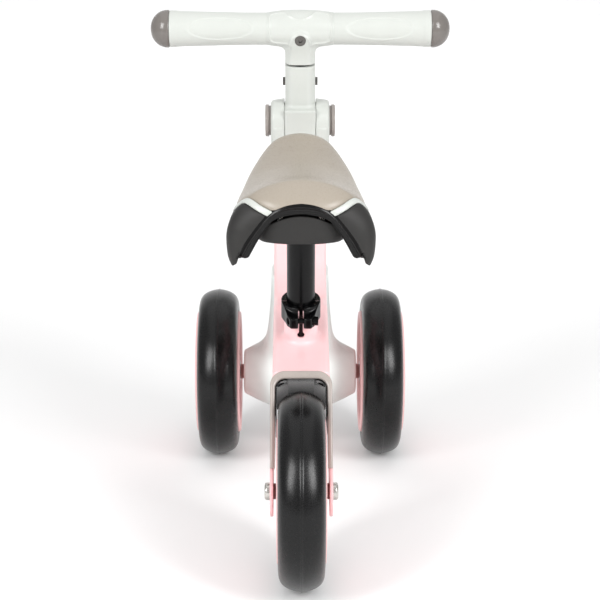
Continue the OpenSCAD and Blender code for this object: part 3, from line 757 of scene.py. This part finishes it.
def bar_field(x, y, z):
    cx, cy, t = to_column(x, y, z, BAR_T)
    side, rho = np.abs(cx), np.hypot(cy, t)
    bar = sd_slab(rho - bar_radius(side), cx, -BAR_BODY_HALF, BAR_BODY_HALF, edge=0.5)
    # the stem stops 2 mm above the collar's gap
    body = union(bar, stem_tube(cx, cy, t, COLLAR_T + 2 - BAR_T, 0), fillet=6)
    # a column up the stem's back, round the bolt
    low = t + BAR_T - BAR_BOLT_T
    column = np.where(low > 0, np.hypot(cx, low), side) - 8.8
    column = np.maximum(column, -low - 24)
    face = -cy - 18.1 + 0.35*(np.hypot(np.minimum(low, 0), 6) - 6)
    column = both(both(column, face, fillet=1.6), cy)
    body = union(body, column, fillet=3)
    # a soft raised line round the back of the bar, with a dip under its top and round the column
    rise = np.arctan2(t, -cy)*BAR_SKIN_R
    line = sd_round_rect(cx, rise - 6.75, 29.3, 17, 6)
    line = cut(line, np.hypot(cx, rise - 29.8) - 15.1, fillet=3)
    round_column = np.where(rise > -9.8, np.hypot(cx, rise + 9.8), side) - 9.6
    line = cut(line, round_column, fillet=2)
    at_back = ramp(-cy, 0, 2.5)
    body = body - at_back*(0.75*np.exp(-(line/1.15)**2) - 0.3*ramp(-line, 0, 1.5))
    bolt_hole = np.maximum(np.hypot(cx, low) - 5.3, cy + 15.4)
    body = cut(body, bolt_hole, fillet=0.4)
    return cut(body, np.maximum(np.hypot(cx, cy) - 12.5, t + 12))


GRIP_START, GRIP_BORE_R = 31.5, 11.0
grip_radius = smooth_curve([(31, 15.2), (34, 15.2), (40, 15.2), (52, 15.25), (70, 15.6), (95, 16.2),
                            (GRIP_END - 12, 16.7), (GRIP_END - 6, 17.1), (GRIP_END - 2, 17.35),
                            (GRIP_END, 17.2)])
# the thumb rest: an oval at the back of the grip, a little above its middle
THUMB_X, THUMB_ANGLE, THUMB_LENGTH, THUMB_HEIGHT = 75.6, 0.347, 31.9, 11.5
THUMB_SKIN_R, THUMB_DEPTH = 15.9, 0.6


def build_grips():
    rows = np.concatenate([[GRIP_START, GRIP_START + 1], np.linspace(34, GRIP_END - 1.2, 124),
                           [GRIP_END - 0.7, GRIP_END - 0.2, GRIP_END]])
    segments = 224
    x, a = np.meshgrid(rows, np.arange(segments)*2*math.pi/segments, indexing="ij")
    r = grip_radius(x)
    r -= 0.7*np.clip(1 - (GRIP_END - x)/0.9, 0, 1)**2
    turned = (a - THUMB_ANGLE + math.pi) % (2*math.pi) - math.pi
    oval = np.hypot((x - THUMB_X)/THUMB_LENGTH, turned*THUMB_SKIN_R/THUMB_HEIGHT)
    inwards = np.clip((1 - oval)/0.08, 0, 1)
    r += 0.12*np.exp(-((oval - 1.04)/0.045)**2) - THUMB_DEPTH*inwards*inwards*(3 - 2*inwards)
    # a low ring beside the end cap
    r += 0.18*np.exp(-((x - GRIP_END + 6)/1.6)**2)
    # the bore
    x = np.concatenate([x, x[-1:], x[:1]])
    a = np.concatenate([a, a[:2]])
    r = np.concatenate([r, np.full((2, segments), GRIP_BORE_R)])
    faces = grid_faces(len(x), segments, around=True, closed=True)
    for side, name in SIDES:
        points = np.stack([side*x, -r*np.cos(a), r*np.sin(a)], axis=-1)
        obj = closed_object("grip_sleeve_" + name, from_column(points, BAR_T), faces, sharp=50)
        put(obj, "handlebar", "grip_rubber", "grip_" + name)


def build_end_caps():
    length, r, rim, plug_length, plug_r = BAR_END - GRIP_END, 17.9, 1.6, 10, 9.3
    profile = [(-plug_length, 0), (-plug_length, plug_r), (0, plug_r), (0.05, r - 1.0),
               (0.25, r - 0.4), (0.8, r - 0.05), (rim, r)]
    profile += [(rim + (length - rim)*math.sin(v), r*math.cos(v)**0.94)
                for v in np.linspace(0, math.pi/2, 40)[1:-1]]
    profile.append((length, 0))
    for side, name in SIDES:
        points, faces = revolve(profile, 96)
        points[:, 0] = side*(GRIP_END + points[:, 0])
        obj = closed_object("bar_dome_" + name, from_column(points, BAR_T), faces)
        # the caps wear a darker copy of the taupe plastic: painted shade
        put(obj, "handlebar", "taupe_plastic", "end_cap_" + name, look="taupe_plastic_shaded")


# ---- saddle

SADDLE_NOSE, RIDGE_Y, ARCH_Y = 43.0, -99.0, -117.6
# by place along the saddle: half width, and heights of the crest, the top's edge and the skirt
half_width = smooth_curve([(-118, 66), (-108, 66.9), (-100, 66.2), (-88, 64.6), (-60, 59.7),
                           (-31, 53.8), (-6, 47.8), (10, 41.4), (25, 34.6), (34, 29.7), (40, 17.4),
                           (43, 4)])
crest = smooth_curve([(-118, 347), (-108, 350), (-96, 350.6), (-70, 349), (-40, 350.5), (-10, 356),
                      (15, 363), (30, 367.5), (38, 366.1), (43, 360.5)])
edge_height = smooth_curve([(-118, 296), (-104, 298), (-88, 303), (-60, 311), (-31, 320), (-6, 330),
                            (18, 343), (43, 352)])
skirt_height = smooth_curve([(-118, 274), (-104, 274.5), (-92, 281), (-70, 296), (-31, 308),
                             (18, 331), (43, 346)])
# half width of the arch at the saddle's rear, by height
ARCH_LOW, ARCH_TOP = 285.0, 334.0
arch_half = smooth_curve([(278.0, 58.5), (284.8, 54.6), (301.5, 45.6), (314.2, 36.8), (323.5, 28.6),
                          (328, 22.5), (331.5, 14.5), (333.2, 7.5), (ARCH_TOP, 0.0)])
# height of the line between cover and base: along the side, and across the rear face
side_trim = smooth_curve([(-110, 332), (-95, 328), (-60, 317), (-25, 317), (20, 335), (50, 350)])
rear_trim = smooth_curve([(0, 311), (20, 321), (28.5, 325.3), (38, 329.8), (44, 332.8),
                          (47.5, 333.6), (52, 331.6), (58, 326), (68, 310)])
TRIM_HALF = 2.9
# share of a ring that is crowned; the rest is its skirts
CROWNED = 0.84


def on_skirt(across):
    """0 on the crowned part of a ring, rising to 1 at the foot of its skirts."""
    return ramp(np.abs(across), CROWNED, 1 - CROWNED)


def saddle_ring(y, across):
    """Outer skin of the saddle at one place along it, for across from -1 (left) to 1 (right)."""
    w, top = half_width(y), crest(y)
    side = np.minimum(edge_height(y), top - 3)
    low = np.minimum(skirt_height(y), side - 2)
    a = np.clip(np.abs(across)/CROWNED, 0, 1)*math.pi/2
    v = on_skirt(across)
    x = w*np.sin(a) - w*(0.04*v**2 + 0.025*ramp(v, 0.6, 0.4)**2)
    z = side + (top - side)*np.cos(a) + (low - side)*v
    return np.stack([np.sign(across)*x, np.full_like(x, y), z], axis=-1)


def arch_ring(across):
    """The edge of the arch at the saddle's rear, in steps that follow it evenly."""
    heights = np.linspace(ARCH_TOP, ARCH_LOW, 200)
    line = np.stack([arch_half(heights), heights], axis=1)
    steps = np.linalg.norm(np.diff(line, axis=0), axis=1)
    length = np.concatenate([[0], np.cumsum(steps)])
    a = np.abs(across)
    x, z = (np.interp(a*length[-1], length, line[:, i]) for i in (0, 1))
    return np.stack([np.sign(across)*x, ARCH_Y + 5.0*a**2.5, z], axis=-1)


def saddle_skin():
    """Rings of the outer skin: over the top from the nose to the rear ridge, then round the rear
    to the edge of the arch."""
    rows_front, rows_back, columns = 96, 34, 181
    across = np.linspace(-1, 1, columns)
    stations = SADDLE_NOSE - (SADDLE_NOSE - RIDGE_Y)*np.linspace(0, 1, rows_front)**1.7
    rings = [saddle_ring(y, across) for y in stations]
    ridge, edge = rings[-1], arch_ring(across)
    power = 1.22 + 0.9*ramp(np.abs(across), 0, 0.7)**2
    for turn in np.linspace(0, math.pi/2, rows_back + 1)[1:]:
        held = np.cos(turn)**(2/power)
        gone = np.sin(turn)**(2/power)
        ring = edge + (ridge - edge)*held[:, None]
        ring[:, 1] = ridge[:, 1] + (edge[:, 1] - ridge[:, 1])*gone
        # the wings' tips hang lower between the ridge and the arch
        ring[:, 2] -= 2.7*np.sqrt(np.sin(math.pi*(1 - held)).clip(0))*on_skirt(across)
        rings.append(ring)
    return np.array(rings)


def distance_to(points, line):
    tree = kdtree.KDTree(len(line))
    for i, p in enumerate(line):
        tree.insert(Vector(p), i)
    tree.balance()
    return np.array([tree.find(Vector(p))[2] for p in points])


def zero_points(rings, value):
    """Where the value crosses zero along the lines of a grid."""
    found = []
    for axis in (0, 1):
        before, after = range(value.shape[axis] - 1), range(1, value.shape[axis])
        a, b = np.take(value, before, axis), np.take(value, after, axis)
        pa, pb = np.take(rings, before, axis), np.take(rings, after, axis)
        on = (a < 0) != (b < 0)
        t = (a[on]/(a[on] - b[on]))[:, None]
        found.append(pa[on]*(1 - t) + pb[on]*t)
    return np.concatenate(found)


def split_grid(points, faces, value, level):
    """Cuts the faces of a mesh where a value at its points passes a level."""
    points, value = [tuple(p) for p in points], list(value)
    made, out = {}, []

    def between(i, j):
        key = (min(i, j), max(i, j))
        if key not in made:
            t = (level - value[i])/(value[j] - value[i])
            made[key] = len(points)
            points.append(tuple(np.array(points[i])*(1 - t) + np.array(points[j])*t))
            value.append(level)
        return made[key]

    for f in faces:
        above = [value[i] > level for i in f]
        if all(above) or not any(above):
            out.append(f)
            continue
        high, low = [], []
        for n, i in enumerate(f):
            after = (n + 1) % len(f)
            (high if above[n] else low).append(i)
            if above[n] != above[after]:
                k = between(i, f[after])
                high.append(k)
                low.append(k)
        out += [tuple(part) for part in (high, low) if len(part) > 2]
    return np.array(points), out, np.array(value)


def skin_normals(points, faces):
    """Outward normals at the points of the saddle's skin."""
    whole = new_object("skin", points, faces, sharp=None)
    b = bmesh.new()
    b.from_mesh(whole.data)
    bmesh.ops.recalc_face_normals(b, faces=b.faces)
    b.normal_update()
    normals = np.array([v.normal for v in b.verts])
    b.free()
    bpy.data.objects.remove(whole)
    top = np.argmax(points[:, 2])
    return normals if normals[top][2] > 0 else -normals


def fix_outward(obj):
    """Turns the faces of an open skin so that they look up and out."""
    b = bmesh.new()
    b.from_mesh(obj.data)
    bmesh.ops.recalc_face_normals(b, faces=b.faces)
    b.normal_update()
    areas = [f.calc_area() for f in b.faces]
    centres = [f.calc_center_median() for f in b.faces]
    centre = sum((c*area for c, area in zip(centres, areas)), Vector())/sum(areas)
    up = sum(f.normal.z*area for f, area in zip(b.faces, areas))
    out = sum(f.normal.dot(c - centre)*area for f, c, area in zip(b.faces, centres, areas))
    half_size = 0.05
    if up + out/half_size < 0:
        bmesh.ops.reverse_faces(b, faces=b.faces)
    b.to_mesh(obj.data)
    b.free()


def build_saddle_skins():
    """Cover, white trim and base: one skin, split beside the line between cover and base."""
    rings = saddle_skin()
    x, y, z = np.moveaxis(rings, -1, 0)
    rear = ramp(-y, 84, 14)
    rear = rear*rear*(3 - 2*rear)
    height = z - side_trim(y)*(1 - rear) - rear_trim(np.abs(x))*rear
    points = rings.reshape(-1, 3)
    value = distance_to(points, zero_points(rings, height))*np.sign(height.ravel())
    faces = grid_faces(*rings.shape[:2])
    # the nose is closed by one small face
    faces.append(tuple(range(rings.shape[1])))
    for level in (TRIM_HALF, -TRIM_HALF):
        points, faces, value = split_grid(points, faces, value, level)
    normals = skin_normals(points, faces)
    place = np.array([np.mean(value[list(f)]) for f in faces])

    def piece(name, chosen, lift, thick):
        """The chosen faces, lifted off the skin and thickened inwards."""
        kept = [f for f, c in zip(faces, chosen) if c]
        used = np.unique(np.concatenate(kept))
        renumber = {int(v): n for n, v in enumerate(used)}
        p = points[used] + normals[used]*lift[used][:, None]
        obj = new_object(name, p, [tuple(renumber[int(i)] for i in f) for f in kept], sharp=60)
        fix_outward(obj)
        solid = obj.modifiers.new("solid", "SOLIDIFY")
        solid.thickness = thick*MM
        solid.offset = -1
        solid.use_quality_normals = True
        return obj

    edge = np.abs(np.abs(value) - TRIM_HALF)
    cover_lift = -1.3*np.exp(-edge/1.2) + 0.5*ramp(edge, 0, 6)
    trim_lift = 0.45 - 0.7*np.clip(1 - edge/0.7, 0, 1)**2
    base_lift = -0.9*np.exp(-edge/0.9) - 0.25
    cover = piece("saddle_pad", place > TRIM_HALF, cover_lift, 3.0)
    put(cover, "seat", "beige_cover", "saddle_cover")
    trim = piece("saddle_piping", np.abs(place) <= TRIM_HALF, trim_lift, 3.0)
    put(trim, "seat", "white_plastic", "saddle_trim")
    base = piece("saddle_wings", place < -TRIM_HALF, base_lift, 2.4)
    put(base, "seat", "black_plastic", "saddle_base", look="wing_plastic")


def build_saddle_lip():
    """The glossy edge of the arch and the stepped ribs behind it, swept from tip to tip."""
    across = np.linspace(-1, 1, 161)
    side = np.abs(across)
    path = arch_ring(across)
    tangent = np.gradient(path, axis=0)
    forward = np.array([0.0, 1.0, 0.0])
    inward = np.cross(tangent, forward)
    inward /= np.linalg.norm(inward, axis=1, keepdims=True)
    if inward[len(across)//2][2] > 0:
        inward = -inward
    # (inwards from the arch's edge, backwards, radius of the corner)
    section = rounded([(-1.6, -6.0, 0), (-1.6, -0.8, 0.8), (0.4, 0.6, 0.8), (2.6, 1.7, 1.2),
                       (4.5, 1.0, 1.2), (5.1, -0.6, 0.6), (5.3, -3.0, 0.2), (7.9, -3.0, 0.5),
                       (8.3, -3.8, 0.5), (8.5, -6.6, 0.2), (11.0, -6.6, 0.5), (11.4, -7.4, 0.5),
                       (11.6, -10.4, 0.2), (14.4, -10.4, 0.5), (14.8, -24.0, 0), (12.0, -40.0, 0),
                       (5.0, -40.0, 0), (1.0, -20.0, 0)], steps=3, closed=True)
    # the section gets narrower and less deep down the sides, and ends in round tips
    narrow = 1 - 0.45*ramp(side, 0, 0.45)
    narrow *= 0.15 + 0.85*np.sqrt(1 - ramp(side, 0.94, 0.06)**2)
    shallow = 1 - 0.75*ramp(side, 0.45, 0.4)
    points = []
    for p, n, width, depth in zip(path, inward, narrow, shallow):
        for u, v in section:
            points.append(p + n*(u*width if u > 0 else u) - forward*(v*depth if v < 0 else v))
    obj = closed_object("saddle_arch", points, tube_faces(len(path), len(section)), sharp=40)
    put(obj, "seat", "black_plastic")


def build_saddle_pan():
    """The tub under the saddle that takes the seat post. Its rim follows the arch."""
    low, high, segments = 294.6, 321.0, 96
    tub_y, post_y = -84.0, -86.5
    squareness, rim_drop, rim_half = 2.5, 17.5, 40
    a = np.arange(segments)*2*math.pi/segments
    # rings from the post's hole over the outside and the rim to the inside
    rings = [(13.4, 13.4, post_y, low + 1.5), (14.5, 14.0, post_y, low + 0.1),
             (34.0, 21.5, tub_y, low + 0.1), (36.6, 23.4, tub_y, low + 0.9),
             (38.0, 24.3, tub_y, low + 3.0), (39.3, 25.2, tub_y, low + 8.0),
             (40.2, 26.2, tub_y, low + 15.0), (41.0, 27.0, tub_y, high - 1.8),
             (40.8, 26.8, tub_y, high - 0.5), (40.0, 26.0, tub_y, high),
             (38.8, 25.0, tub_y, high - 0.4), (38.0, 24.0, tub_y, low + 12.0),
             (12.9, 12.9, post_y, low + 3.0)]
    across, along = (np.sign(v)*np.abs(v)**(2/squareness) for v in (np.cos(a), np.sin(a)))
    points = []
    for half_x, half_y, y, z in rings:
        x = half_x*across
        drop = rim_drop*(x/rim_half)**2*ramp(z, low, high - low)
        points.append(np.stack([x, y + half_y*along, z - drop], axis=1))
    faces = grid_faces(len(rings), segments, around=True, closed=True)
    obj = closed_object("saddle_tub", np.concatenate(points), faces, sharp=40)
    put(obj, "seat", "black_plastic", "saddle_pan", look="wing_plastic")


# ---- wheels


def smooth_path(points, steps):
    """A smooth line through points, with the given number of steps between two of them."""
    p = np.asarray(points, float)
    key = np.arange(len(p))
    at = np.linspace(0, len(p) - 1, (len(p) - 1)*steps + 1)
    return np.stack([smooth_curve(list(zip(key, p[:, i])))(at) for i in (0, 1)], axis=1)


def tyre_profile():
    """The tyre's section as (distance from the middle, radius), with a moulding seam round it."""
    seam = [(0, WHEEL_R), (0.45, WHEEL_R), (0.65, WHEEL_R - 0.15)]
    # (distance from the middle, drop below the tread)
    shoulder = [(0.9, 0.35), (5.5, 1.15), (10, 2.5), (14, 4.5), (17, 7), (19, 10.2), (20.1, 14),
                (20.5, 18.5)]
    tread = smooth_path([(x, WHEEL_R - drop) for x, drop in shoulder], 4)
    foot = rounded([(20.4, 68, 0), (19.9, 66, 1.5), (18.4, 64.6, 1), (17, 64, 0)], steps=4)
    half = np.concatenate([seam, tread, foot])
    return np.concatenate([half[::-1]*[-1, 1], half[1:]])


def build_tyres():
    for name, body, y in (("rear", "rear_wheel", REAR_Y), ("front_left", "left_front_wheel", FRONT_Y),
                          ("front_right", "right_front_wheel", FRONT_Y)):
        points, faces = revolve(tyre_profile(), 180, closed=True)
        place = [middle(name + "_tyre")[0], y, AXLE_Z]
        obj = closed_object(name + "_tread", points + place, faces, sharp=60)
        put(obj, body, "tyre_foam", name + "_tyre")


# ---- build everything

carve("frame_shell", frame_field, "frame", "pink_paint", ["frame_beam", "head_tube", "seat_tube"],
      step=1.0, most=90000)
build_arch_trim()
carve("clamp_collar", clamp_field, "frame", "black_metal", ["seat_clamp"], step=0.6, most=30000)
# the black liner is partly the real wheel guard and partly painted shade over the arch's inner walls
carve("wheel_liner_and_shade", liner_and_shade_field, "frame", "black_plastic", ["wheel_guard"], step=0.8, most=40000,
      beside=["arch_trim"])
carve("fork_shells", fork_field, "fork", "grey_plastic", ["fork_shell_front", "fork_shell_rear"],
      step=1.0, most=70000)
carve("hinge_body", hinge_field, "fork", "white_plastic", ["hinge_housing"], step=0.7, most=50000)
carve("stem_lower", knuckle_field, "handlebar", "white_plastic", ["stem_knuckle"], step=0.7,
      most=40000)
build_buttons()
carve("handlebar_centre", bar_field, "handlebar", "white_plastic", ["handlebar_body"], step=0.7,
      most=80000, margin=3.0)
build_grips()
build_end_caps()
build_saddle_skins()
build_saddle_lip()
build_saddle_pan()
build_tyres()

# ---- stage and light


def stage():
    """A pale floor that sweeps up into a wall behind the bike. Lengths are in metres."""
    half_width, front, back, sweep_r, wall_top = 6.0, -3.0, 4.0, 1.5, 5.0
    sweep = [(back + sweep_r*math.sin(t), sweep_r - sweep_r*math.cos(t))
             for t in np.linspace(0, math.pi/2, 16)]
    rows = [(front, 0.0), *sweep, (back + sweep_r, wall_top)]
    mesh = bpy.data.meshes.new("floor")
    points = [(side*half_width, y, z) for y, z in rows for side in (-1, 1)]
    mesh.from_pydata(points, [], [(2*i, 2*i + 1, 2*i + 3, 2*i + 2) for i in range(len(rows) - 1)])
    mesh.shade_smooth()
    material = bpy.data.materials.new("floor")
    material.use_nodes = True
    bsdf = material.node_tree.nodes["Principled BSDF"]
    bsdf.inputs["Base Color"].default_value = (0.95, 0.95, 0.95, 1)
    bsdf.inputs["Roughness"].default_value = 0.9
    mesh.materials.append(material)
    floor = add("floor", mesh)


def area(name, place, target, size, power):
    """A soft rectangular light, aimed at a point."""
    light = bpy.data.lights.new(name, "AREA")
    light.shape = "RECTANGLE"
    light.size, light.size_y = size
    light.energy = power
    obj = add(name, light)
    obj.location = place
    obj.rotation_euler = (Vector(target) - Vector(place)).to_track_quat("-Z", "Y").to_euler()


def lights():
    """An even white surround, a softbox on each side, one above, and one that lights the wall."""
    world = bpy.data.worlds.new("world")
    bpy.context.scene.world = world
    world.use_nodes = True
    background = world.node_tree.nodes["Background"]
    background.inputs["Color"].default_value = (1, 1, 1, 1)
    background.inputs["Strength"].default_value = 0.52
    area("right", (1.35, -1.5, 1.3), (0, 0, 0.2), (0.7, 1.1), 32)
    area("left", (-1.35, -1.5, 1.3), (0, 0, 0.2), (0.7, 1.1), 29)
    area("top", (0, 0.5, 2.4), (0, 0.3, 0), (3.0, 3.0), 16)
    area("wall", (0, 1.6, 2.6), (0, 4.5, 1.4), (2.6, 1.0), 75)
    bpy.context.scene.view_settings.view_transform = "Standard"


stage()
lights()
